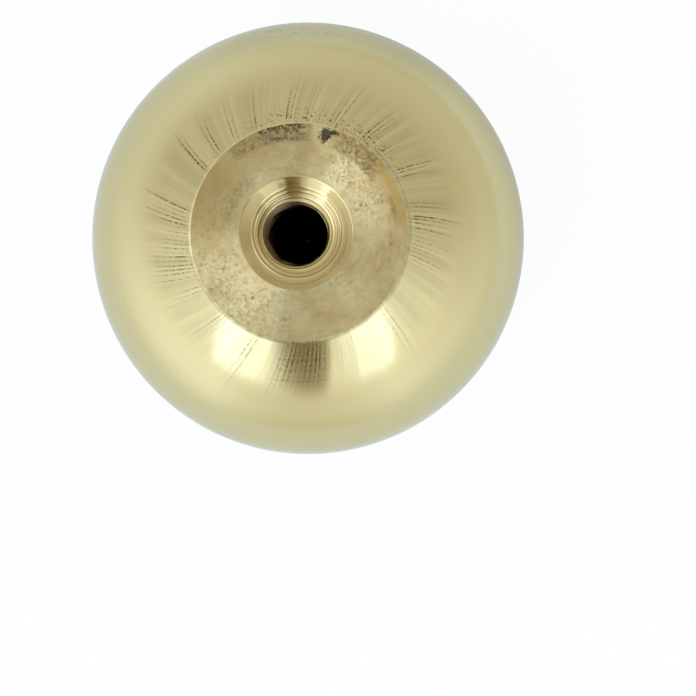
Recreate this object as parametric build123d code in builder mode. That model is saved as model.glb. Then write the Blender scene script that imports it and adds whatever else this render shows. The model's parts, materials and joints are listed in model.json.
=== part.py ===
# Ball cabinet knob turned from solid brass, with a flat end and a blind tapped hole for its fixing screw.
# The flat end lies on the XY plane and faces +Z, as the knob lies on a bench, so the ball reaches down from it.

from build123d import *
import os
from math import acos, degrees, radians, sqrt, tan

# Driving dimensions, in millimetres and degrees
ball_diameter = 25.0
base_diameter = 12.5  # flat end, at its corner with the ball before that is worn round
base_edge_radius = 0.2  # worn edge between the flat end and the ball
countersink_width = 1.57  # ring of the countersink, seen from above, from its rim in to the bore
countersink_angle = 100.0  # included angle
tap_drill_diameter = 3.3  # tapping size for an M4 x 0.7 thread, whose crests lie on this bore
bore_depth = 12.0  # full-diameter depth below the flat end
drill_point_angle = 118.0  # included angle

# The ball
ball_radius = ball_diameter / 2
base_radius = base_diameter / 2
ball_centre_z = -sqrt(ball_radius**2 - base_radius**2)
base_edge_elevation = degrees(acos(base_radius / ball_radius))  # seen from the ball's centre

# The tapped hole
bore_radius = tap_drill_diameter / 2
countersink_radius = bore_radius + countersink_width
countersink_bottom_z = -countersink_width / tan(radians(countersink_angle / 2))
drill_point_z = -bore_depth - bore_radius / tan(radians(drill_point_angle / 2))

os.makedirs("parts", exist_ok=True)

with BuildPart() as knob:
    # Turned blank: half the ball's section, from its front pole up to the flat end
    with BuildSketch(Plane.XZ):
        with BuildLine():
            ball_arc = CenterArc((0, ball_centre_z), ball_radius, -90, 90 + base_edge_elevation)
            Polyline(ball_arc @ 1, (0, 0), ball_arc @ 0)
        make_face()
    revolve(axis=Axis.Z)

    # Edge of the flat end, worn a little round
    flat_end = knob.faces().sort_by(Axis.Z)[-1]
    fillet(flat_end.edges(), radius=base_edge_radius)

    # Countersink, bore and drill point, down the axis from the flat end
    with BuildSketch(Plane.XZ):
        with BuildLine():
            Polyline(
                (0, 0),
                (countersink_radius, 0),
                (bore_radius, countersink_bottom_z),
                (bore_radius, -bore_depth),
                (0, drill_point_z),
                close=True,
            )
        make_face()
    revolve(axis=Axis.Z, mode=Mode.SUBTRACT)

knob.part.label = "knob"
export_step(knob.part, "parts/knob.step")
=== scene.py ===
import json
import math
from functools import partial

import bpy
from mathutils import Matrix, Vector


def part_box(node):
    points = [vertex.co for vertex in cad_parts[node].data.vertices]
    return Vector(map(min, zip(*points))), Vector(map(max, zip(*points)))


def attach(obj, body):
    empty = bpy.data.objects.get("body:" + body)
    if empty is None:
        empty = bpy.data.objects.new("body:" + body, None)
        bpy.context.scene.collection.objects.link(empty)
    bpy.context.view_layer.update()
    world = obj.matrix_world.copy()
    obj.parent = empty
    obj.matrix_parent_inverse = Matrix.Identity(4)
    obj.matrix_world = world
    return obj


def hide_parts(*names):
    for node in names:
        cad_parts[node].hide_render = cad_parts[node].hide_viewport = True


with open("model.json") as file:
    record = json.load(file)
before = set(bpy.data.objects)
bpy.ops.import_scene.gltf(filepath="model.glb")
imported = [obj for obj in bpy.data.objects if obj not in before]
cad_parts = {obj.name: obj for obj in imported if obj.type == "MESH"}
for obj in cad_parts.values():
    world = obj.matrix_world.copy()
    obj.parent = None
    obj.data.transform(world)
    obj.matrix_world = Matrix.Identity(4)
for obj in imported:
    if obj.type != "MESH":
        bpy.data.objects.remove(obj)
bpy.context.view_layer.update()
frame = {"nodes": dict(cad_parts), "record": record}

mm = 0.001
imageSize = 696  # pixels, both ways
print("frame loaded:", sorted(frame["nodes"]))


def hexToLinear(code):
    parts = [int(code[i:i + 2], 16) / 255 for i in (1, 3, 5)]
    return tuple(c / 12.92 if c <= 0.04045 else ((c + 0.055) / 1.055) ** 2.4 for c in parts) + (1.0,)


# adds a node, fills or links its sockets and sets its settings; gives back its outputs
# a shader node goes by its short name, and a pair for From or To goes to the Min and the Max socket
def addNode(tree, kind, sockets=None, **settings):
    node = tree.nodes.new(kind if "Node" in kind else "ShaderNode" + kind)
    for name, value in settings.items():
        setattr(node, name, value)
    filled = {}
    for key, value in (sockets or {}).items():
        if key in ("From", "To"):
            filled[key + " Min"], filled[key + " Max"] = value
        else:
            filled[key] = value
    for key, value in filled.items():
        if isinstance(value, bpy.types.NodeSocket):
            tree.links.new(value, node.inputs[key])
        else:
            node.inputs[key].default_value = value
    return node.outputs


# The knob, all in millimetres
low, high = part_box("knob")
screwHole = next(m for m in frame["record"]["mounts"] if m["name"] == "screw_hole")
knob = {
    "columns": 288,  # faces around the axis
    # faces along each stretch of the section
    "rows": {"point": 4, "bore": 120, "foot": 54, "cone": 8, "rim": 4, "flat": 42, "edge": 8, "ball": 78},
    "guideRadius": 1e-5,  # of the circle that carries the section around, too small to show
    "ballRadius": (high.x - low.x) / 2 / mm,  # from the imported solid
    "height": (high.z - low.z) / mm,
    "edgeRadius": 0.2,  # worn edge of the flat end
    "rimRadius": 0.1,  # soft edge of the countersink
    "countersinkRadius": 3.22,
    "countersinkAngle": 100.0,  # degrees, included
    "boreRadius": float(screwHole["dims"]["r_mm"]),  # the thread's crests
    "boreDepth": 12.0,
    "drillPoint": 118.0,  # degrees, included
    "threadRoot": 1.95,  # radius
    "threadPitch": 0.7,
    "threadFlank": (0.14, 0.43),  # where it begins and ends, in pitches from the middle of a crest
    "threadEnd": 10.5,  # depth where the tap stopped
    "threadFade": 1.2,  # length of the last shallow turns
    "ringsFrom": 2.64,  # radius where the feed marks low on the countersink begin
    "ringPitch": 0.225,  # across the radius
    "ringDepth": 0.045,
    # groove and lip of a feed mark: in pitches from where they begin, share of the depth
    "ringShape": ((-0.48, 1.0), (-0.16, -0.6)),
    "ringWidth": 0.16,  # half width of groove and lip, in pitches
    "ringBlend": 0.05,  # rounds the line where the thread meets the feed marks
    "runout": (-0.17, -0.06, 0),  # the flat end was turned this far off the ball's axis
    "mouthRunout": (-0.285, -0.04, 0),  # the mouth of the thread lies this far off it
    "boreRunout": (-0.1, -0.09, 0),  # and the bore was drilled this far off it
    "runoutFade": (6.0, 5.6),  # radius where the flat end's run-out begins, and where it is full
    "mouthFade": (2.25, 1.98),
    "boreFade": (1.98, 1.68),
    "pitRunout": (-0.06, -0.02, 0),  # what is left of the flat end's run-out at the pit
    "pitPlace": (1.55, 5.55, 0),  # a casting pit near the edge of the flat end
    "pitSize": (0.33, 0.4, 1),
    "tailPlace": (1.93, 5.655, 0),
    "tailSize": (0.3, 0.13, 1),
    "pitDepth": 0.14,
    "pitEdge": (1.05, 0.85),  # its wall falls between these shares of its size
    "notchesPerMm": 5.0,  # in its ragged outline
    "notchReach": 1.3,  # share of its size
    "sealDistance": 0.0015,  # joins the stretches where they meet
    "crispAngle": 35.0,  # degrees, a sharper edge isn't shaded smooth
}


# section of the turned form as points (radius, depth below the flat end), from the drill point outwards
def sectionPoints(k):
    ballDepth = k["height"] - k["ballRadius"]
    edgeReach = k["ballRadius"] - k["edgeRadius"]  # from the ball's centre to the edge rounding's
    edgeRise = ballDepth - k["edgeRadius"]
    flatRadius = math.sqrt(edgeReach**2 - edgeRise**2)
    lean = math.radians(k["countersinkAngle"] / 2)  # of the countersink, from the axis
    ringsDepth = (k["countersinkRadius"] - k["ringsFrom"]) / math.tan(lean)
    rimTangent = k["rimRadius"] * math.tan(math.pi / 4 - lean / 2)
    boreTop = (k["countersinkRadius"] - k["boreRadius"]) / math.tan(lean)
    pointDepth = k["boreDepth"] + k["boreRadius"] / math.tan(math.radians(k["drillPoint"] / 2))
    return {
        "Drill Point": (0, pointDepth),
        "Bore Bottom": (k["boreRadius"], k["boreDepth"]),
        "Bore Top": (k["boreRadius"], boreTop),
        "Rings Outside": (k["ringsFrom"], ringsDepth),
        "Countersink Rim": (
            k["countersinkRadius"] - rimTangent * math.sin(lean), rimTangent * math.cos(lean)),
        "Rim Centre": (k["countersinkRadius"] + rimTangent, k["rimRadius"]),
        "Flat Inside": (k["countersinkRadius"] + rimTangent, 0),
        "Flat Outside": (flatRadius, 0),
        "Edge Centre": (flatRadius, k["edgeRadius"]),
        "Ball Centre": (0, ballDepth),
        "Edge Angle": -math.asin(edgeRise / edgeReach),
        "Rim Sweep": math.pi / 2 - lean,
    }


# a straight stretch of the section, turned around the axis
def straightTurned(add, circle, rows, start, end):
    line = add("GeometryNodeCurvePrimitiveLine", {"Start": start, "End": end})["Curve"]
    stretch = add("GeometryNodeResampleCurve", {"Curve": line, "Count": rows + 1}, mode="COUNT")["Curve"]
    return add("GeometryNodeCurveToMesh", {"Curve": circle, "Profile Curve": stretch})["Mesh"]


# a round stretch of the section, turned around the axis
def roundTurned(add, circle, rows, centre, radius, startAngle, sweep):
    arc = add("GeometryNodeCurveArc", {
        "Resolution": rows + 1, "Radius": radius, "Start Angle": startAngle, "Sweep Angle": sweep},
        mode="RADIUS")["Curve"]
    stretch = add("GeometryNodeTransform", {"Geometry": arc, "Translation": centre})["Geometry"]
    return add("GeometryNodeCurveToMesh", {"Curve": circle, "Profile Curve": stretch})["Mesh"]


# distance from the pit and its tail, 1 at their edge, which noise makes ragged
def raggedPit(add, p, shapes):
    distances = []
    for place, size in shapes:
        away = add("VectorMath", {0: p, 1: place}, operation="SUBTRACT")[0]
        scaled = add("VectorMath", {0: away, 1: size}, operation="DIVIDE")[0]
        distances.append(add("VectorMath", {0: scaled}, operation="LENGTH")["Value"])
    nearest = add("Math", dict(enumerate(distances)), operation="MINIMUM")[0]
    notches = add("TexNoise", {"Vector": p, "Scale": knob["notchesPerMm"], "Detail": 4.0})[0]
    reach = knob["notchReach"]
    notched = add("Math", {0: notches, 1: reach, 2: -reach / 2}, operation="MULTIPLY_ADD")[0]
    return add("Math", {0: nearest, 1: notched}, operation="ADD")[0]


# turns the section, cuts thread, feed marks and pit, and gives each zone its finish
def knobTree(k, points, materials):
    tree = bpy.data.node_groups.new("turnedKnob", "GeometryNodeTree")
    add = partial(addNode, tree)
    tree.interface.new_socket("Geometry", in_out="OUTPUT", socket_type="NodeSocketGeometry")
    sizes = dict(points)
    for key in ("columns", "ballRadius", "edgeRadius", "rimRadius", "boreRadius", "threadRoot",
                "threadPitch", "threadEnd", "threadFade", "ringPitch", "ringDepth", "runout", "mouthRunout",
                "boreRunout", "pitPlace", "pitSize", "tailPlace", "tailSize", "pitDepth"):
        words = "".join(" " + letter if letter.isupper() else letter for letter in key)
        sizes[words.title()] = k[key]
    kinds = {int: "NodeSocketInt", float: "NodeSocketFloat", tuple: "NodeSocketVector"}
    values = {}
    for name, size in sizes.items():
        socket = tree.interface.new_socket(name, in_out="INPUT", socket_type=kinds[type(size)])
        values[socket.identifier] = (*size, 0)[:3] if isinstance(size, tuple) else size
    given = add("NodeGroupInput")
    rows = k["rows"]
    circle = add("GeometryNodeCurvePrimitiveCircle", {
        "Resolution": given["Columns"], "Radius": k["guideRadius"]})["Curve"]

    position = add("GeometryNodeInputPosition")["Position"]
    x, y, z = add("SeparateXYZ", {0: position})[:3]
    flatPosition = add("VectorMath", {0: position, 1: (1, 1, 0)}, operation="MULTIPLY")[0]
    radius = add("VectorMath", {0: flatPosition}, operation="LENGTH")["Value"]
    angle = add("Math", {0: y, 1: x}, operation="ARCTAN2")[0]
    turn = add("Math", {0: angle, 1: 2 * math.pi}, operation="DIVIDE")[0]

    # tapped wall: bore and foot of the countersink, cut by a right-hand thread wherever its groove is wider
    wall = add("GeometryNodeJoinGeometry")
    for stretch, start, end in (("bore", "Bore Bottom", "Bore Top"), ("foot", "Bore Top", "Rings Outside")):
        turned = straightTurned(add, circle, rows[stretch], given[start], given[end])
        tree.links.new(turned, wall[0].node.inputs[0])
    along = add("Math", {0: z, 1: given["Thread Pitch"]}, operation="DIVIDE")[0]
    phase = add("Math", {0: along, 1: turn}, operation="SUBTRACT")[0]
    wave = add("Math", {0: phase, 1: 0.5}, operation="PINGPONG")[0]  # 0 at crests, 0.5 at roots
    groove = add("MapRange", {"Value": wave, "From": k["threadFlank"]})[0]
    depth = add("Math", {0: z, 1: -1.0}, operation="MULTIPLY")[0]
    lastTurn = add("Math", {0: given["Thread End"], 1: given["Thread Fade"]}, operation="ADD")[0]
    tapped = add("MapRange", {"Value": depth, "From": (lastTurn, given["Thread End"])})[0]
    cut = add("Math", {0: groove, 1: tapped}, operation="MULTIPLY")[0]
    reach = add("Math", {0: given["Thread Root"], 1: given["Bore Radius"]}, operation="SUBTRACT")[0]
    grooveRadius = add("Math", {0: cut, 1: reach, 2: given["Bore Radius"]}, operation="MULTIPLY_ADD")[0]
    # feed marks: rings on the foot of the countersink, each a groove with a raised lip outside it
    ringsStart = add("SeparateXYZ", {0: given["Rings Outside"]})[0]
    inward = add("Math", {0: radius, 1: ringsStart}, operation="SUBTRACT")[0]
    feed = add("Math", {0: inward, 1: given["Ring Pitch"]}, operation="DIVIDE")[0]
    ringRadius = radius
    for place, share in k["ringShape"]:
        away = add("Math", {0: feed, 1: place}, operation="SUBTRACT")[0]
        ridge = add("Math", {0: away, 1: 0.5}, operation="PINGPONG")[0]
        mark = add("MapRange", {"Value": ridge, "From": (k["ringWidth"], 0.0), "To Max": share})[0]
        ringRadius = add("Math", {
            0: mark, 1: given["Ring Depth"], 2: ringRadius}, operation="MULTIPLY_ADD")[0]
    newRadius = add("Math", {0: ringRadius, 1: grooveRadius, 2: k["ringBlend"]}, operation="SMOOTH_MAX")[0]
    widen = add("Math", {0: newRadius, 1: radius}, operation="DIVIDE")[0]
    widenBy = add("CombineXYZ", {0: widen, 1: widen, 2: 1.0})[0]
    tappedPosition = add("VectorMath", {0: position, 1: widenBy}, operation="MULTIPLY")[0]
    tappedWall = add("GeometryNodeSetPosition", {
        "Geometry": wall["Geometry"], "Position": tappedPosition})[0]

    # the rest of the hole, and the flat end with its pit
    hole = add("GeometryNodeJoinGeometry")
    cone = straightTurned(add, circle, rows["cone"], given["Rings Outside"], given["Countersink Rim"])
    rimStart = add("Math", {0: -math.pi / 2, 1: given["Rim Sweep"]}, operation="SUBTRACT")[0]
    rim = roundTurned(
        add, circle, rows["rim"], given["Rim Centre"], given["Rim Radius"], rimStart, given["Rim Sweep"])
    point = straightTurned(add, circle, rows["point"], given["Drill Point"], given["Bore Bottom"])
    for mesh in (tappedWall, cone, rim, point):
        tree.links.new(mesh, hole[0].node.inputs[0])
    flat = straightTurned(add, circle, rows["flat"], given["Flat Inside"], given["Flat Outside"])
    pitDistance = raggedPit(add, position, [
        (given["Pit Place"], given["Pit Size"]), (given["Tail Place"], given["Tail Size"])])
    pitMask = add("MapRange", {
        "Value": pitDistance, "From": k["pitEdge"]}, interpolation_type="SMOOTHSTEP")[0]
    sink = add("Math", {0: pitMask, 1: given["Pit Depth"]}, operation="MULTIPLY")[0]
    sinkBy = add("Math", {0: sink, 1: -1.0}, operation="MULTIPLY")[0]
    pitOffset = add("CombineXYZ", {2: sinkBy})[0]
    pitted = add("GeometryNodeSetPosition", {"Geometry": flat, "Offset": pitOffset})[0]

    # the edge rounding and the ball share one tangent, so they meet smoothly
    edgeAngle = given["Edge Angle"]
    edgeSweep = add("Math", {0: edgeAngle, 1: math.pi / 2}, operation="ADD")[0]
    ballSweep = add("Math", {0: math.pi / 2, 1: edgeAngle}, operation="SUBTRACT")[0]
    edge = roundTurned(
        add, circle, rows["edge"], given["Edge Centre"], given["Edge Radius"], -math.pi / 2, edgeSweep)
    ball = roundTurned(
        add, circle, rows["ball"], given["Ball Centre"], given["Ball Radius"], edgeAngle, ballSweep)

    # how far each part of the flat end and the hole was turned or drilled off the ball's axis
    fades = []
    for name in ("mouthFade", "boreFade", "runoutFade"):
        fades.append(add("MapRange", {"Value": radius, "From": k[name]}, interpolation_type="SMOOTHSTEP")[0])
    axis = given["Runout"]
    for fade, name in zip(fades, ("Mouth Runout", "Bore Runout")):
        axis = add("Mix", {0: fade, 4: axis, 5: given[name]}, data_type="VECTOR")[1]
    shift = add("VectorMath", {0: axis, "Scale": fades[2]}, operation="SCALE")[0]

    # each zone keeps a number for its finish: 0 ball, 1 flat end, 2 hole
    whole = add("GeometryNodeJoinGeometry")
    for number, mesh in ((0, ball), (0, edge), (1, pitted), (2, hole["Geometry"])):
        zone = add("GeometryNodeStoreNamedAttribute", {
            "Geometry": mesh, "Name": "zone", "Value": number}, data_type="INT", domain="FACE")[0]
        if number > 0:
            zone = add("GeometryNodeSetPosition", {"Geometry": zone, "Offset": shift})[0]
        tree.links.new(zone, whole[0].node.inputs[0])
    sealed = add("GeometryNodeMergeByDistance", {
        "Geometry": whole["Geometry"], "Distance": k["sealDistance"]})[0]
    smooth = add("GeometryNodeSetShadeSmooth", {"Geometry": sealed})[0]
    bend = add("GeometryNodeInputMeshEdgeAngle")["Unsigned Angle"]
    gentle = add("FunctionNodeCompare", {
        0: bend, 1: math.radians(k["crispAngle"])}, operation="LESS_THAN")[0]
    edged = add("GeometryNodeSetShadeSmooth", {"Geometry": smooth, "Shade Smooth": gentle}, domain="EDGE")[0]
    metres = add("GeometryNodeTransform", {"Geometry": edged, "Scale": (mm, mm, mm)})[0]
    result = add("GeometryNodeRealizeInstances", {"Geometry": metres})[0]
    zoneNumber = add("GeometryNodeInputNamedAttribute", {"Name": "zone"}, data_type="INT")["Attribute"]
    for number, material in enumerate(materials):
        here = add("FunctionNodeCompare", {2: zoneNumber, 3: number}, data_type="INT", operation="EQUAL")[0]
        result = add("GeometryNodeSetMaterial", {
            "Geometry": result, "Selection": here, "Material": material})[0]
    add("NodeGroupOutput", {0: result})
    return tree, values


# runs a tree on an empty object and keeps the result as a plain mesh
def plainMesh(name, tree, values):
    source = bpy.data.objects.new(name + "Source", bpy.data.meshes.new(name + "Source"))
    bpy.context.scene.collection.objects.link(source)
    modifier = source.modifiers.new("shape", "NODES")
    modifier.node_group = tree
    for identifier, value in values.items():
        modifier[identifier] = value
    evaluated = source.evaluated_get(bpy.context.evaluated_depsgraph_get())
    mesh = bpy.data.meshes.new_from_object(evaluated)
    mesh.name = name
    source.modifiers.remove(modifier)
    bpy.data.objects.remove(source)
    piece = bpy.data.objects.new(name, mesh)
    bpy.context.scene.collection.objects.link(piece)
    return piece


# place in millimetres from a turning axis, distance from that axis, and direction away from it
def turnedPlace(add, axis=(0, 0, 0)):
    place = add("TexCoord")["Object"]
    inMm = add("VectorMath", {0: place, "Scale": 1 / mm}, operation="SCALE")[0]
    p = add("VectorMath", {0: inMm, 1: axis}, operation="SUBTRACT")[0]
    level = add("VectorMath", {0: p, 1: (1, 1, 0)}, operation="MULTIPLY")[0]
    radius = add("VectorMath", {0: level}, operation="LENGTH")["Value"]
    outward = add("VectorMath", {0: level}, operation="NORMALIZE")[0]
    return p, radius, outward


def newMaterial(name):
    material = bpy.data.materials.new(name)
    material.use_nodes = True
    material.node_tree.nodes.clear()
    return material, partial(addNode, material.node_tree)


# unit vector at an angle counted clockwise from image right, as the wear is listed
def clockwise(degrees):
    return (math.cos(math.radians(degrees)), -math.sin(math.radians(degrees)), 0)


# full strength around an angle, out to a share of its half width, then down to 0 at the half width
def nearAngle(add, outward, place, spread, full=0.6, strength=1.0):
    facing = add("VectorMath", {0: outward, 1: clockwise(place)}, operation="DOT_PRODUCT")["Value"]
    span = [math.cos(math.radians(degrees)) for degrees in (spread, spread * full)]
    return add("MapRange", {"Value": facing, "From": span, "To Max": strength})[0]


# sum of patches, each with an angle, half width in degrees, inner and outer radius in millimetres, strength
def patchMask(add, radius, outward, patches, soft):
    covered = 0.0
    for place, spread, inside, outside, strength in patches:
        near = nearAngle(add, outward, place, spread, full=0.5, strength=strength)
        begin = add("MapRange", {"Value": radius, "From": (inside, inside + soft)})[0]
        end = add("MapRange", {"Value": radius, "From": (outside, outside - soft)})[0]
        band = add("Math", {0: begin, 1: end}, operation="MULTIPLY")[0]
        covered = add("Math", {0: near, 1: band, 2: covered}, operation="MULTIPLY_ADD")[0]
    return covered


# thin line where a value passes a middle, from nothing at its edge to full strength at its core
def thinLine(add, value, middle, edge, core, strength=1.0):
    beside = add("Math", {0: value, 1: middle}, operation="SUBTRACT")[0]
    apart = add("Math", {0: beside}, operation="ABSOLUTE")[0]
    return add("MapRange", {"Value": apart, "From": (edge, core), "To Max": strength})[0]


# radii and lengths in millimetres; patterns are counted to the millimetre, or to the radian around the axis
ballFinish = {
    "colour": "#d3c58d",
    "edgeTint": "#eeeede",  # the metal dims a little towards its outline
    "scratchColour": "#5a4c26",
    "burrHighlightColour": "#ebe2b2",  # painted highlight on the raised lip beside a scratch
    "roughness": 0.15,
    "edgeRoughness": 0.2,  # added on the worn edge of the flat end
    "edgeWear": (6.4, 6.22),  # radius where that edge begins, and where it is fully worn
    "burrRoughness": 0.12,  # added on the raised lips
    "darkRoughness": 0.15,  # added by the dark marks, the painted rim shade among them
    "twist": 1.75,  # degrees the scratches run askew for each millimetre outwards
    "twistFrom": 6.2,  # radius where they start out straight
    "scratchSpacing": 2.0,  # degrees, at most one scratch in each
    # as shares of that space: where a scratch may lie, its edge and core, its burr's place, edge and core
    "scratchPlace": (0.3, 0.65),
    "scratchWidth": (0.28, 0.08),
    "burrAside": 0.32,
    "burrWidth": (0.2, 0.06),
    "scratchStrength": 1.15,
    "burrStrength": 0.7,
    "scratchDepth": 0.002,
    "scratchStart": (6.3, 6.7),  # radius where scratches begin, and where they are full
    "startStrength": 0.2,  # what there is of them inside that
    "stopsShort": 1.2,  # how far before the others in its bunch a scratch may end
    "fadeOut": (0.6, -1.4),  # from the end of a bunch: where it is gone, and where it is still full
    "breaksPerMm": 7.0,  # along the scratches
    "ringsPerMm": 5.0,  # left by the lathe
    "streaksPerRadian": 16.0,
    "streakStrength": 0.22,
    "streakEnd": (9.3, 8.3),  # radius where the streaks are gone, and where they are still full
    "specksPerMm": 5.0,
    "speckStrength": 0.8,
    "scuffsPerRadian": 32.0,
    "scuffsPerMm": 9.0,
    "scuffStrength": 0.4,  # of the dark ones
    # scratches: angle, half width in degrees, radius where they end, strength
    "bunches": ((6, 10, 8.6, 0.7), (26, 8, 8.0, 0.35), (42, 3, 9.2, 0.5), (66, 6, 8.2, 0.25),
                (87, 13, 9.2, 1.0), (112, 2.5, 9.6, 1.0), (131, 4, 8.4, 0.6), (149, 4, 8.4, 0.8),
                (165, 11, 8.8, 0.8), (178, 5, 8.2, 0.7), (187, 5.5, 9.4, 1.0), (202, 1.5, 7.4, 0.5),
                (214, 2.5, 9.0, 1.0),
                (224, 2, 9.0, 0.8), (237, 3, 8.8, 1.0), (247, 2, 9.0, 0.7), (258, 3, 8.6, 0.3),
                (264.5, 3, 9.2, 1.0), (273, 2, 8.8, 0.7), (282, 4, 7.8, 0.5), (287, 4, 9.0, 0.8),
                (299.5, 2, 7.6, 0.6), (306, 4, 9.2, 0.8), (316, 4, 8.4, 0.8), (329, 3.5, 9.0, 0.8),
                (347, 4, 8.4, 0.7), (354, 4, 9.2, 1.0)),
    # angle, half width in degrees, inner and outer radius, strength
    "hatching": ((86, 13, 6.5, 9.0, 0.5),),  # rings across the densest scratches
    "edgeSpecks": ((285, 50, 6.0, 7.2, 1.0), (200, 60, 6.0, 6.8, 0.4)),
    "rimScuffs": ((256, 16, 11.5, 12.3, 0.55), (276, 16, 11.2, 12.1, 0.45)),
    # painted shade: the top of the ball near its outline is darkened, as where it mirrors the floor in the
    # ball's shadow
    "paintedRimShade": ((278, 40, 10.6, 14.0, 0.2),),
    "edgeDulled": ((15, 110, 5.9, 6.45, 0.3), (120, 50, 5.9, 6.45, 0.45)),  # on the worn edge
}


# Buffed brass: pale, low sheen, with fine scratches drawn out from the flat end
def buffedBrass(finish):
    material, add = newMaterial("buffedBrass")
    p, fromAxis, outward = turnedPlace(add)
    # counts on past the ball's widest part, so that the wear stays on the half with the flat end
    z = add("SeparateXYZ", {0: p})[2]
    ballCentre = knob["ballRadius"] - knob["height"]
    below = add("Math", {0: z, 1: ballCentre}, operation="LESS_THAN")[0]
    folded = add("Math", {0: fromAxis, 1: -2.0, 2: 2 * knob["ballRadius"]}, operation="MULTIPLY_ADD")[0]
    radius = add("Math", {0: below, 1: folded, 2: fromAxis}, operation="MULTIPLY_ADD")[0]
    twist = math.radians(finish["twist"])
    turn = add("Math", {0: radius, 1: twist, 2: -finish["twistFrom"] * twist}, operation="MULTIPLY_ADD")[0]
    askew = add("VectorRotate", {"Vector": outward, "Angle": turn}, rotation_type="Z_AXIS")[0]
    x, y = add("SeparateXYZ", {0: askew})[:2]
    angle = add("Math", {0: y, 1: x}, operation="ARCTAN2")[0]
    spaces = add("Math", {0: angle, 1: math.radians(finish["scratchSpacing"])}, operation="DIVIDE")[0]
    space = add("Math", {0: spaces}, operation="FLOOR")[0]
    within = add("Math", {0: spaces}, operation="FRACT")[0]
    # each space draws its own scratch: where in the space, how deep, how long
    chance = add("TexWhiteNoise", {"W": space}, noise_dimensions="1D")["Color"]
    place, depth, length = add("SeparateColor", {0: chance})[:3]
    first, last = finish["scratchPlace"]
    middle = add("Math", {0: place, 1: last - first, 2: first}, operation="MULTIPLY_ADD")[0]
    burrMiddle = add("Math", {0: middle, 1: finish["burrAside"]}, operation="SUBTRACT")[0]
    cut = thinLine(add, within, middle, *finish["scratchWidth"])
    lip = thinLine(add, within, burrMiddle, *finish["burrWidth"])
    deep = add("MapRange", {"Value": depth, "From": (0.1, 0.8), "To Min": 0.3})[0]
    breaks = add("TexNoise", {"Vector": p, "Scale": finish["breaksPerMm"], "Detail": 2.0})[0]
    broken = add("MapRange", {"Value": breaks, "From": (0.42, 0.56), "To Min": 0.15})[0]
    clearOfEdge = add("MapRange", {
        "Value": radius, "From": finish["scratchStart"], "To Min": finish["startStrength"]})[0]
    reach = add("Math", {0: length, 1: finish["stopsShort"], 2: radius}, operation="MULTIPLY_ADD")[0]
    gone, full = finish["fadeOut"]
    bunches = 0.0
    for direction, spread, end, strength in finish["bunches"]:
        near = nearAngle(add, askew, direction, spread, strength=strength)
        fade = add("MapRange", {"Value": reach, "From": (end + gone, end + full)})[0]
        bunches = add("Math", {0: near, 1: fade, 2: bunches}, operation="MULTIPLY_ADD")[0]
    marked = deep
    for mask in (broken, clearOfEdge, bunches):
        marked = add("Math", {0: marked, 1: mask}, operation="MULTIPLY")[0]
    scratches = add("Math", {0: cut, 1: marked}, operation="MULTIPLY", use_clamp=True)[0]
    # raised lips beside the scratches, brightened with a painted highlight
    burrHighlights = add("Math", {0: lip, 1: marked}, operation="MULTIPLY", use_clamp=True)[0]
    # rings left by the lathe, seen where they cross a dense bunch
    ringSpace = add("CombineXYZ", {2: radius})[0]
    rings = add("TexNoise", {"Vector": ringSpace, "Scale": finish["ringsPerMm"], "Detail": 2.0})[0]
    hatching = add("MapRange", {"Value": rings, "From": (0.5, 0.65)})[0]
    for mask in (patchMask(add, radius, askew, finish["hatching"], soft=0.5), broken):
        hatching = add("Math", {0: hatching, 1: mask}, operation="MULTIPLY")[0]
    # broad faint streaks between the scratches
    streakSpace = add("VectorMath", {0: askew, "Scale": finish["streaksPerRadian"]}, operation="SCALE")[0]
    streaks = add("TexNoise", {"Vector": streakSpace, "Scale": 1.0, "Detail": 3.0})[0]
    streakShare = add("MapRange", {
        "Value": streaks, "From": (0.35, 0.7), "To Max": finish["streakStrength"]})[0]
    inner = add("MapRange", {"Value": radius, "From": finish["streakEnd"]})[0]
    dark = add("Math", {0: streakShare, 1: inner}, operation="MULTIPLY")[0]
    # dark specks around part of the flat end
    speckled = patchMask(add, radius, outward, finish["edgeSpecks"], soft=0.6)
    specks = add("TexNoise", {"Vector": p, "Scale": finish["specksPerMm"], "Detail": 3.0})[0]
    speckCut = add("MapRange", {"Value": specks, "From": (0.55, 0.66), "To Max": finish["speckStrength"]})[0]
    # fine scuffs that run around the ball near its widest
    scuffed = patchMask(add, radius, outward, finish["rimScuffs"], soft=0.3)
    around = add("VectorMath", {0: outward, "Scale": finish["scuffsPerRadian"]}, operation="SCALE")[0]
    scuffSpace = add("VectorMath", {
        0: ringSpace, 1: (0, 0, finish["scuffsPerMm"]), 2: around}, operation="MULTIPLY_ADD")[0]
    scuffs = add("TexNoise", {"Vector": scuffSpace, "Scale": 1.0, "Detail": 3.0, "Distortion": 0.6})[0]
    scuffDark = add("MapRange", {
        "Value": scuffs, "From": (0.42, 0.32), "To Max": finish["scuffStrength"]})[0]
    scuffLight = add("MapRange", {"Value": scuffs, "From": (0.55, 0.66)})[0]
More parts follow.
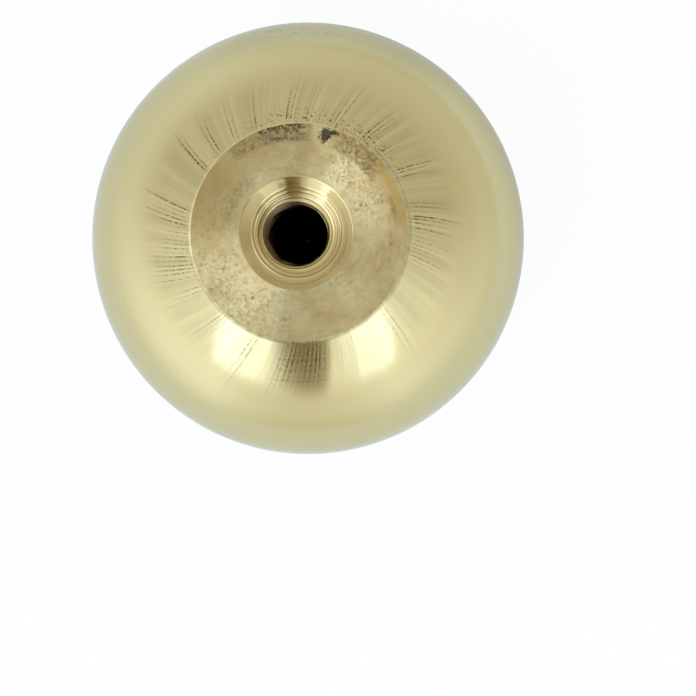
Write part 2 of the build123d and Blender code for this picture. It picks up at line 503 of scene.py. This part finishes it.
    # painted shade darkening the top of the ball near its outline
    paintedRimShadeMask = patchMask(add, radius, outward, finish["paintedRimShade"], soft=1.0)
    edgeFilm = patchMask(add, radius, outward, finish["edgeDulled"], soft=0.12)
    for mask, share in ((scratches, finish["scratchStrength"]), (hatching, 1.0), (speckCut, speckled),
                        (scuffDark, scuffed), (paintedRimShadeMask, 1.0), (edgeFilm, 1.0)):
        dark = add("Math", {0: mask, 1: share, 2: dark}, operation="MULTIPLY_ADD", use_clamp=True)[0]
    lightScuffs = add("Math", {0: scuffLight, 1: scuffed}, operation="MULTIPLY")[0]
    light = add("Math", {
        0: burrHighlights, 1: finish["burrStrength"], 2: lightScuffs}, operation="MULTIPLY_ADD", use_clamp=True)[0]
    colour = hexToLinear(finish["colour"])
    for mask, over in ((light, "burrHighlightColour"), (dark, "scratchColour")):
        colour = add("Mix", {0: mask, 6: colour, 7: hexToLinear(finish[over])}, data_type="RGBA")[2]
    wornRoughness = finish["roughness"] + finish["edgeRoughness"]
    roughness = add("MapRange", {
        "Value": radius, "From": finish["edgeWear"], "To": (finish["roughness"], wornRoughness)})[0]
    for mask, added in ((burrHighlights, "burrRoughness"), (dark, "darkRoughness")):
        roughness = add("Math", {0: mask, 1: finish[added], 2: roughness}, operation="MULTIPLY_ADD")[0]
    normal = add("Bump", {
        "Height": scratches, "Strength": 1.0, "Distance": finish["scratchDepth"] * mm}, invert=True)[0]
    shader = add("BsdfPrincipled", {
        "Base Color": colour, "Metallic": 1.0, "Roughness": roughness,
        "Specular Tint": hexToLinear(finish["edgeTint"]), "Normal": normal})[0]
    add("OutputMaterial", {"Surface": shader})
    return material


# measures as for the ball
flatFinish = {
    "colour": "#d0bf88",
    "warmColour": "#c8b177",
    "speckColour": "#7d6b42",
    "fleckColour": "#ece1b4",
    "pitColour": "#47402a",
    "pitEdge": (1.0, 0.9),  # shares of its size between which the pit's colour comes in
    "roughness": (0.4, 0.52),
    "relief": 0.01,
    "mottlePerMm": 1.8,
    "mottleStrength": 0.26,
    "tonesPerMm": 0.55,
    "arcsPerRadian": 5.0,
    "arcsPerMm": 7.0,
    "arcStrength": 0.2,
    "specksPerMm": 4.8,
    "speckStrength": 0.7,
    "fleckStrength": 0.8,
    "plainShare": 0.08,  # of the specks and flecks, outside the worn patches
    "breaksPerMm": 4.2,  # in the films
    "breakWidth": 0.24,  # noise levels between a break and the whole film
    # angle, half width in degrees, inner and outer radius, strength
    "worn": ((322, 34, 3.2, 5.7, 1.0), (142, 38, 3.3, 7.0, 0.9), (193, 20, 3.7, 6.0, 0.5),
             (95, 14, 4.3, 5.6, 0.5), (255, 45, 3.2, 4.6, 0.3)),
    # films, lowest first: colour, noise level up to which it is missing, softness of its edge, patches
    "films": {
        "grime": ("#7d7048", 0.38, 0.4, (
            (210, 28, 3.5, 4.6, 0.6), (292, 14, 3.1, 3.7, 0.5), (330, 14, 3.2, 3.9, 0.6),
            (48, 18, 3.1, 3.9, 0.4), (105, 16, 3.1, 6.3, 0.35), (135, 22, 4.6, 6.4, 0.45),
            (330, 14, 4.7, 6.0, 0.45), (0, 12, 5.2, 6.0, 0.3))),
        "tarnish": ("#a98f53", 0.2, 1.0, (
            (212, 46, 3.9, 8.0, 0.6), (336, 28, 5.0, 8.0, 1.0), (306, 20, 5.0, 8.0, 0.7),
            (283, 16, 3.2, 5.8, 0.4))),
        "stains": ("#634e31", 0.36, 0.2, (
            (262, 19, 5.15, 7.0, 0.9), (262, 17, 5.9, 7.0, 0.8), (308, 19, 5.1, 7.0, 0.85),
            (345, 7, 5.45, 5.95, 0.7), (4, 5, 5.2, 5.6, 0.5), (238, 9, 5.2, 7.0, 0.6))),
    },
}


# Faced brass: dull and ringed by the lathe tool, specked and stained with age
def facedBrass(finish):
    material, add = newMaterial("facedBrass")
    p, radius, outward = turnedPlace(add, knob["runout"])
    mottle = add("TexNoise", {
        "Vector": p, "Scale": finish["mottlePerMm"], "Detail": 5.0, "Roughness": 0.65})[0]
    tones = add("TexNoise", {"Vector": p, "Scale": finish["tonesPerMm"], "Detail": 3.0})[0]
    warm = add("MapRange", {"Value": tones, "From": (0.4, 0.65)})[0]
    # arcs of the lathe tool, with the grain of the worn metal over them
    around = add("VectorMath", {0: outward, "Scale": finish["arcsPerRadian"]}, operation="SCALE")[0]
    acrossArcs = add("CombineXYZ", {2: radius})[0]
    arcSpace = add("VectorMath", {
        0: acrossArcs, 1: (0, 0, finish["arcsPerMm"]), 2: around}, operation="MULTIPLY_ADD")[0]
    arcs = add("TexNoise", {"Vector": arcSpace, "Scale": 1.0, "Detail": 3.0})[0]
    arcShare = add("MapRange", {"Value": arcs, "From": (0.5, 0.75), "To Max": finish["arcStrength"]})[0]
    mottleShare = add("MapRange", {
        "Value": mottle, "From": (0.3, 0.75), "To Max": finish["mottleStrength"]})[0]
    dullAndShadePatches = add("Math", {0: mottleShare, 1: arcShare}, operation="ADD")[0]
    # specks and bright flecks lie in worn patches
    worn = patchMask(add, radius, outward, finish["worn"], soft=0.5)
    clustered = add("MapRange", {"Value": mottle, "From": (0.4, 0.6), "To Min": 0.25})[0]
    patchShare = add("Math", {
        0: worn, 1: clustered, 2: finish["plainShare"]}, operation="MULTIPLY_ADD", use_clamp=True)[0]
    specks = add("TexNoise", {
        "Vector": p, "Scale": finish["specksPerMm"], "Detail": 4.0, "Roughness": 0.6, "Distortion": 0.6})[0]
    speckCut = add("MapRange", {"Value": specks, "From": (0.52, 0.68)})[0]
    speckShare = add("Math", {0: patchShare, 1: speckCut}, operation="MULTIPLY")[0]
    fleckCut = add("MapRange", {"Value": specks, "From": (0.44, 0.33), "To Max": finish["fleckStrength"]})[0]
    fleckShare = add("Math", {0: patchShare, 1: fleckCut}, operation="MULTIPLY")[0]
    grain = add("Math", {
        0: speckShare, 1: finish["speckStrength"], 2: dullAndShadePatches}, operation="MULTIPLY_ADD", use_clamp=True)[0]
    layers = [
        (warm, finish["warmColour"]), (fleckShare, finish["fleckColour"]), (grain, finish["speckColour"])]
    breaks = add("TexNoise", {
        "Vector": p, "Scale": finish["breaksPerMm"], "Detail": 6.0, "Roughness": 0.75})[0]
    for filmColour, broken, soft, patches in finish["films"].values():
        covered = patchMask(add, radius, outward, patches, soft)
        unbroken = add("MapRange", {"Value": breaks, "From": (broken, broken + finish["breakWidth"])})[0]
        film = add("Math", {0: covered, 1: unbroken}, operation="MULTIPLY", use_clamp=True)[0]
        layers.append((film, filmColour))
    # the pit, with the same ragged edge as the hollow in the mesh
    pitSpot = turnedPlace(add, knob["pitRunout"])[0]
    pitDistance = raggedPit(add, pitSpot, [
        (knob["pitPlace"], knob["pitSize"]), (knob["tailPlace"], knob["tailSize"])])
    pit = add("MapRange", {"Value": pitDistance, "From": finish["pitEdge"]})[0]
    layers.append((pit, finish["pitColour"]))
    colour = hexToLinear(finish["colour"])
    for mask, over in layers:
        colour = add("Mix", {0: mask, 6: colour, 7: hexToLinear(over)}, data_type="RGBA")[2]
    metal = add("Math", {0: 1.0, 1: pit}, operation="SUBTRACT")[0]
    roughness = add("MapRange", {"Value": mottle, "From": (0.3, 0.7), "To": finish["roughness"]})[0]
    height = add("Math", {0: mottle, 1: grain}, operation="SUBTRACT")[0]
    normal = add("Bump", {"Height": height, "Strength": 1.0, "Distance": finish["relief"] * mm})[0]
    tangent = add("Tangent", direction_type="RADIAL", axis="Z")[0]
    shader = add("BsdfPrincipled", {
        "Base Color": colour, "Metallic": metal, "Roughness": roughness, "Anisotropic": 0.9,
        "Anisotropic Rotation": 0.25, "Specular IOR Level": 0.1, "Tangent": tangent, "Normal": normal})[0]
    add("OutputMaterial", {"Surface": shader})
    return material


# measures as for the ball
holeFinish = {
    "colour": "#c7b278",
    "oilColour": "#66502d",
    "paintedLightColour": "#85704a",  # painted light: one side of the thread is lighter
    "dullAndShadeColour": "#8f7c4c",
    # painted shade deep in the bore
    "paintedDepthShadeColour": "#2a2114",
    "grooveColour": "#6a5a30",
    # painted highlight on the lips of the feed marks
    "lipHighlightColour": "#ece0ae",
    "roughness": 0.11,
    "ringRoughness": 0.28,  # on the feed marks
    "oilRoughness": 0.27,
    "oil": (1.94, 1.86),  # radius where the dark of the thread begins, and where it is full
    "mouth": (-1.75, -1.35),  # height from the flat end where the mouth begins, and where it is full
    "depth": (-1.6, -4.5),  # height where the painted shade of the depth begins, and where it is full
    "shade": (2.25, 1.6),  # radius where the painted shade on the thread begins, and where it is full
    "shadeStrength": 0.95,
    "ringed": (2.35, 2.1),  # radius where the rough feed marks begin, and where they are full
    "turnsPerMm": 9.0,  # fine rings of the countersink tool
    "turnDepth": 0.012,
    # angle, half width in degrees, inner and outer radius, strength
    # partly dull metal, partly painted shade: the dark gap between the windows mirrored in the countersink,
    # and a bright band near the mouth toned down
    "dullAndShadePatches": ((200, 45, 2.4, 3.6, 0.42), (247, 24, 2.0, 3.6, 0.6), (290, 14, 2.0, 3.6, 0.4),
               (0, 50, 2.4, 3.6, 0.3), (100, 55, 2.7, 3.6, 0.33), (220, 18, 2.2, 2.75, 0.45),
               (262, 15, 2.65, 3.05, 0.5), (330, 55, 1.85, 2.25, 0.9)),
    # feed marks: axis, radius, half width, strength of the darker line in the groove and of the painted
    # highlight on the lip outside it
    "rings": (((-0.13, -0.03, 0), 2.53, 0.06, 0.6, 0.25), ((-0.15, -0.03, 0), 2.31, 0.05, 0.45, 0.15),
              ((-0.19, -0.03, 0), 2.03, 0.05, 0.9, 0.5)),
    "lipAside": 1.6,  # from groove to lip, in half widths
    "lineCore": 0.3,  # share of a line's half width where it is full
    # angle, half width in degrees, share of it where it is full
    "paintedShadeSide": (215, 130, 0.5),  # side where the thread is seen deeper, darkened by painted shade
    # painted light on one side of the thread
    "paintedLight": (250, 75, 0.4),
    "wiped": (12, 62, 0.6),  # where the mouth is bare of oil
    "paintedGlint": (215, 85, 0.7),  # where a painted highlight lies along a thin line of a thread crest
    "paintedGlintRadius": 1.88,
    "paintedGlintWidth": 0.045,
}


# Cut brass: bright where the countersink was cut, dark with oil and painted shade down the thread
def cutBrass(finish):
    material, add = newMaterial("cutBrass")
    p, radius, outward = turnedPlace(add, knob["runout"])
    mouthRadius = turnedPlace(add, knob["mouthRunout"])[1]
    boreRadius = turnedPlace(add, knob["boreRunout"])[1]
    z = add("SeparateXYZ", {0: p})[2]
    zones = {}
    for name, value in (("oil", mouthRadius), ("mouth", z), ("depth", z), ("shade", boreRadius)):
        zones[name] = add("MapRange", {"Value": value, "From": finish[name]})[0]
    # oil covers the thread, apart from what is wiped bare and a painted highlight along one thread crest
    wiped = nearAngle(add, outward, *finish["wiped"])
    wipedMouth = add("Math", {0: wiped, 1: zones["mouth"]}, operation="MULTIPLY")[0]
    # painted highlight: a thin bright line along a thread crest on one side
    paintedGlint = nearAngle(add, outward, *finish["paintedGlint"])
    width = finish["paintedGlintWidth"]
    core = width * finish["lineCore"]
    paintedGlintLine = thinLine(add, mouthRadius, finish["paintedGlintRadius"], width, core, paintedGlint)
    oil = zones["oil"]
    for bare in (wipedMouth, paintedGlintLine):
        left = add("Math", {0: 1.0, 1: bare}, operation="SUBTRACT")[0]
        oil = add("Math", {0: oil, 1: left}, operation="MULTIPLY")[0]
    # painted shade: the thread darkens with depth and towards one side
    paintedShadeSide = nearAngle(add, outward, *finish["paintedShadeSide"], strength=finish["shadeStrength"])
    shaded = add("Math", {0: zones["shade"], 1: paintedShadeSide}, operation="MULTIPLY")[0]
    dark = add("Math", {0: zones["depth"], 1: shaded}, operation="MAXIMUM")[0]
    # the countersink, with dull metal and painted shade in patches, darker lines in the grooves of its feed
    # marks and painted highlights on the lips beside them
    layers = [(patchMask(add, radius, outward, finish["dullAndShadePatches"], soft=0.2), "dullAndShadeColour")]
    for axis, ringRadius, width, grooveDark, lip in finish["rings"]:
        away = turnedPlace(add, axis)[1]
        core = width * finish["lineCore"]
        lipRadius = ringRadius + width * finish["lipAside"]
        layers.append((thinLine(add, away, ringRadius, width, core, grooveDark), "grooveColour"))
        layers.append((thinLine(add, away, lipRadius, width, core, lip), "lipHighlightColour"))
    cone = hexToLinear(finish["colour"])
    for mask, over in layers:
        cone = add("Mix", {0: mask, 6: cone, 7: hexToLinear(finish[over])}, data_type="RGBA")[2]
    thread = hexToLinear(finish["oilColour"])
    # the thread's oil colour, with painted light on one side and painted shade with depth
    for mask, over in ((nearAngle(add, outward, *finish["paintedLight"]), "paintedLightColour"), (dark, "paintedDepthShadeColour")):
        thread = add("Mix", {0: mask, 6: thread, 7: hexToLinear(finish[over])}, data_type="RGBA")[2]
    colour = add("Mix", {0: oil, 6: cone, 7: thread}, data_type="RGBA")[2]
    ringSpace = add("CombineXYZ", {2: radius})[0]
    turns = add("TexNoise", {"Vector": ringSpace, "Scale": finish["turnsPerMm"], "Detail": 2.0})[0]
    normal = add("Bump", {"Height": turns, "Strength": 1.0, "Distance": finish["turnDepth"] * mm})[0]
    ringed = add("MapRange", {
        "Value": radius, "From": finish["ringed"], "To": (finish["roughness"], finish["ringRoughness"])})[0]
    roughness = add("MapRange", {"Value": oil, "To": (ringed, finish["oilRoughness"])})[0]
    shader = add("BsdfPrincipled", {
        "Base Color": colour, "Metallic": 1.0, "Roughness": roughness, "Normal": normal})[0]
    add("OutputMaterial", {"Surface": shader})
    return material


finishes = (buffedBrass(ballFinish), facedBrass(flatFinish), cutBrass(holeFinish))
print("finishes made:", [finish.name for finish in finishes])
tree, values = knobTree(knob, sectionPoints(knob), finishes)
brassKnob = plainMesh("brassKnob", tree, values)
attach(brassKnob, "root")
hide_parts("knob")
print("knob turned:", len(brassKnob.data.polygons), "faces")

# Studio: a white floor under the ball, and a soft room with two bright low windows
studio = {
    "sheet": 0.036,  # metres, radius of the floor
    "corners": 96,  # around the floor
    "white": "#ffffff",
    "floorColour": "#dadde3",
    "floorWhite": 0.93,  # the rest of the floor shows the shadow
    "mirroredWhite": 0.1,  # share of the white surroundings that metal and glass see
    "room": 0.69,
    # levels of the room: the upward part of the direction where each begins and is full, its strength
    "levels": {
        "ceiling": (0.5, 0.65, 0.17),
        "zenith": (0.9, 0.97, -0.37),  # darker again straight up
        "glowTop": (0.75, 0.55, 1.0),
        "glowFoot": (-0.85, -0.05, 1.0),
        "floorLight": (-0.06, -0.42, 0.36),  # from the white floor farther off
        "underneath": (0.2, -0.2, 1.0),
        "gapFoot": (-0.22, 0.1, 1.0),
        "gapTop": (0.75, 0.6, 1.0),
    },
    # soft light from one side: angle, where it begins and is full as cosines, level
    "glows": ((95.5, -0.5, 0.9, 1.1), (240, 0.0, 1.0, 0.1)),
    "dips": ((92, 32, 0.65), (20, 65, 0.3), (300, 60, 0.65)),  # shades low down: angle, half width, strength
    "softboxes": (((-0.5, -0.29, 0.82), 3.05), ((0.42, 0.36, 0.83), 0.9)),  # high up, for the flat end
    "softboxEdge": (0.9, 0.97),  # as cosines
    "glowColour": "#cbd8fa",
    "lowColour": "#b4ccff",
    "windowColour": "#b8d2ff",
    "inFront": (0.05, 0.2),  # part of the direction towards -Y where the windows begin, and are full
    "leastAhead": 0.02,  # least of that part, so that nothing is divided by 0
    # across, for each unit towards -Y: where the gap ends, where the pane begins and gets to full strength
    # from its first, its far edge and how that leans; and the height of its sill
    "panes": ({"side": 1, "level": 2.0, "gapEdge": (0.11, 0.16), "begin": (0.31, 0.38), "first": 0.34,
               "full": (0.38, 0.7), "farEdge": (0.75, 0.63), "lean": 0.72, "sill": (-0.08, 0.08)},
              {"side": -1, "level": 2.4, "gapEdge": (0.02, 0.25), "begin": (0.25, 0.32), "first": 0.36,
               "full": (0.34, 0.86), "farEdge": (0.85, 0.7), "lean": 0.5, "sill": (-0.07, 0.09)}),
    "gapColour": "#7c6c28",
    "gapPlace": -0.005,  # across, for each unit towards -Y
    "gapLean": 0.19,  # how it widens upwards
    "gapFade": (0.05, 0.45),  # height where it begins to darken, and where it is darkest
    "gapFirst": 0.8,  # how dark it is below that
}


# White floor: white to the lens with a faint shadow, and pale paint where the knob mirrors it
def floorPaint():
    material, add = newMaterial("whiteFloor")
    lit = add("BsdfPrincipled", {"Base Color": hexToLinear(studio["floorColour"]), "Roughness": 0.4})[0]
    white = add("Emission", {"Color": hexToLinear(studio["white"]), "Strength": 1.0})[0]
    path = add("LightPath")
    mirrored = add("Math", {
        0: path["Is Glossy Ray"], 1: path["Is Transmission Ray"]}, operation="MAXIMUM")[0]
    mirroredShare = add("Math", {0: mirrored, 1: studio["mirroredWhite"]}, operation="MULTIPLY")[0]
    share = add("Math", {
        0: path["Is Camera Ray"], 1: studio["floorWhite"], 2: mirroredShare}, operation="MULTIPLY_ADD")[0]
    mixed = add("MixShader", {0: share, 1: lit, 2: white})[0]
    add("OutputMaterial", {"Surface": mixed})
    return material


def floorDisc():
    corners = [2 * math.pi * i / studio["corners"] for i in range(studio["corners"])]
    points = [(studio["sheet"] * math.cos(a), studio["sheet"] * math.sin(a), low.z) for a in corners]
    mesh = bpy.data.meshes.new("floor")
    mesh.from_pydata(points, [], [range(studio["corners"])])
    mesh.materials.append(floorPaint())
    disc = bpy.data.objects.new("floor", mesh)
    bpy.context.scene.collection.objects.link(disc)
    return disc


# Soft room: pale light all around for the ball to mirror, white to the lens
def softRoom():
    world = bpy.data.worlds.new("softRoom")
    world.use_nodes = True
    world.node_tree.nodes.clear()
    add = partial(addNode, world.node_tree)
    direction = add("TexCoord")["Generated"]
    across, along, up = add("SeparateXYZ", {0: direction})[:3]
    level = add("VectorMath", {0: direction, 1: (1, 1, 0)}, operation="MULTIPLY")[0]
    levelDirection = add("VectorMath", {0: level}, operation="NORMALIZE")[0]
    levels = {}
    for name, (begin, full, amount) in studio["levels"].items():
        levels[name] = add("MapRange", {
            "Value": up, "From": (begin, full), "To Max": amount}, interpolation_type="SMOOTHSTEP")[0]
    # two windows with a dark gap between them
    towards = add("Math", {0: along, 1: -1.0}, operation="MULTIPLY")[0]
    ahead = add("Math", {0: towards, 1: studio["leastAhead"]}, operation="MAXIMUM")[0]
    ratio = add("Math", {0: across, 1: ahead}, operation="DIVIDE")[0]
    sideways = add("Math", {0: ratio, 1: studio["gapPlace"]}, operation="SUBTRACT")[0]
    lean = add("Math", {0: up, 1: studio["gapLean"]}, operation="MULTIPLY")[0]
    inFront = add("MapRange", {"Value": towards, "From": studio["inFront"]})[0]
    windows = 0.0
    gap = add("MapRange", {"Value": up, "From": studio["gapFade"], "To Min": studio["gapFirst"]})[0]
    for mask in (levels["gapFoot"], levels["gapTop"], inFront):
        gap = add("Math", {0: gap, 1: mask}, operation="MULTIPLY")[0]
    for pane in studio["panes"]:
        offset = add("Math", {0: sideways, 1: pane["side"]}, operation="MULTIPLY")[0]
        leaning = add("Math", {0: offset, 1: lean}, operation="SUBTRACT")[0]
        farther = add("Math", {0: up, 1: -pane["lean"], 2: offset}, operation="MULTIPLY_ADD")[0]
        edges = {}
        for name, value in (("gapEdge", leaning), ("begin", offset), ("farEdge", farther), ("sill", up)):
            edges[name] = add("MapRange", {
                "Value": value, "From": pane[name]}, interpolation_type="SMOOTHSTEP")[0]
        bright = add("MapRange", {"Value": offset, "From": pane["full"], "To Min": pane["first"]})[0]
        window = pane["level"]
        for mask in (*edges.values(), bright, inFront):
            window = add("Math", {0: mask, 1: window}, operation="MULTIPLY")[0]
        windows = add("Math", {0: windows, 1: window}, operation="ADD")[0]
        closed = add("Math", {0: 1.0, 1: edges["gapEdge"]}, operation="SUBTRACT")[0]
        gap = add("Math", {0: gap, 1: closed}, operation="MULTIPLY")[0]
    # below the horizon the glow gives way to the light of the floor
    glow = 0.0
    for place, begin, full, strength in studio["glows"]:
        facing = add("VectorMath", {
            0: levelDirection, 1: clockwise(place)}, operation="DOT_PRODUCT")["Value"]
        soft = add("MapRange", {
            "Value": facing, "From": (begin, full), "To Max": strength}, interpolation_type="SMOOTHSTEP")[0]
        glow = add("Math", {0: glow, 1: soft}, operation="ADD")[0]
    for mask in (levels["glowTop"], levels["glowFoot"]):
        glow = add("Math", {0: glow, 1: mask}, operation="MULTIPLY")[0]
    floorLight = levels["floorLight"]
    for place, spread, strength in studio["dips"]:
        dipped = nearAngle(add, levelDirection, place, spread, full=0.1, strength=strength)
        dip = add("Math", {0: levels["underneath"], 1: dipped}, operation="MULTIPLY")[0]
        undimmed = add("Math", {0: 1.0, 1: dip}, operation="SUBTRACT")[0]
        glow = add("Math", {0: glow, 1: undimmed}, operation="MULTIPLY")[0]
        floorLight = add("Math", {0: floorLight, 1: undimmed}, operation="MULTIPLY")[0]
    for place, strength in studio["softboxes"]:
        facing = add("VectorMath", {0: direction, 1: place}, operation="DOT_PRODUCT")["Value"]
        softbox = add("MapRange", {
            "Value": facing, "From": studio["softboxEdge"], "To Max": strength},
            interpolation_type="SMOOTHSTEP")[0]
        glow = add("Math", {0: glow, 1: softbox}, operation="ADD")[0]
    room = add("Math", {0: levels["ceiling"], 1: levels["zenith"]}, operation="ADD")[0]
    room = add("Math", {0: room, 1: studio["room"]}, operation="ADD")[0]
    lit = add("CombineXYZ", {0: room, 1: room, 2: room})[0]
    for tint, amount in (("glowColour", glow), ("lowColour", floorLight), ("windowColour", windows)):
        tinted = add("VectorMath", {0: hexToLinear(studio[tint])[:3], "Scale": amount}, operation="SCALE")[0]
        lit = add("VectorMath", {0: lit, 1: tinted}, operation="ADD")[0]
    path = add("LightPath")
    mirrored = add("Math", {
        0: path["Is Glossy Ray"], 1: path["Is Transmission Ray"]}, operation="MAXIMUM")[0]
    share = add("Math", {
        0: mirrored, 1: studio["mirroredWhite"], 2: path["Is Camera Ray"]}, operation="MULTIPLY_ADD")[0]
    colour = lit
    for mask, over in ((gap, "gapColour"), (share, "white")):
        colour = add("Mix", {0: mask, 6: colour, 7: hexToLinear(studio[over])}, data_type="RGBA")[2]
    background = add("Background", {"Color": colour, "Strength": 1.0})[0]
    add("OutputWorld", {"Surface": background})
    return world


floor = floorDisc()
bpy.context.scene.world = softRoom()
print("studio lit")

# Camera: the photograph's view, straight down on the flat end and a little off its axis
view = {
    "ballPixel": (308.05, 238.32),  # centre of the ball's outline in the image
    "ballPixels": 215.74,  # radius of that outline
    "lean": (2.49, -1.28),  # degrees, towards +X and +Y
    "distance": 588.0,  # millimetres, to the ball's centre
    "sensor": 36.0,
    "clipStart": 0.01,  # metres
}
pixelsPerMm = view["ballPixels"] / knob["ballRadius"]
camera = bpy.data.objects.new("camera", bpy.data.cameras.new("camera"))
bpy.context.scene.collection.objects.link(camera)
camera.data.sensor_width = view["sensor"]
camera.data.lens = pixelsPerMm * view["distance"] * view["sensor"] / imageSize
camera.data.clip_start = view["clipStart"]
back = Vector([math.tan(math.radians(degrees)) for degrees in view["lean"]] + [1]).normalized()
right = Vector((0, 1, 0)).cross(back).normalized()
upward = back.cross(right)
ballCentre = Vector((0, 0, low.z / mm + knob["ballRadius"]))
pixelsRight = imageSize / 2 - view["ballPixel"][0]
pixelsUp = view["ballPixel"][1] - imageSize / 2
aim = ballCentre + right * pixelsRight / pixelsPerMm + upward * pixelsUp / pixelsPerMm
cameraPlace = (aim + back * view["distance"]) * mm
camera.matrix_world = Matrix.Translation(cameraPlace) @ Matrix((right, upward, back)).transposed().to_4x4()
bpy.context.scene.camera = camera
bpy.context.scene.view_settings.view_transform = "Standard"
print("camera set:", [round(c, 4) for c in cameraPlace])
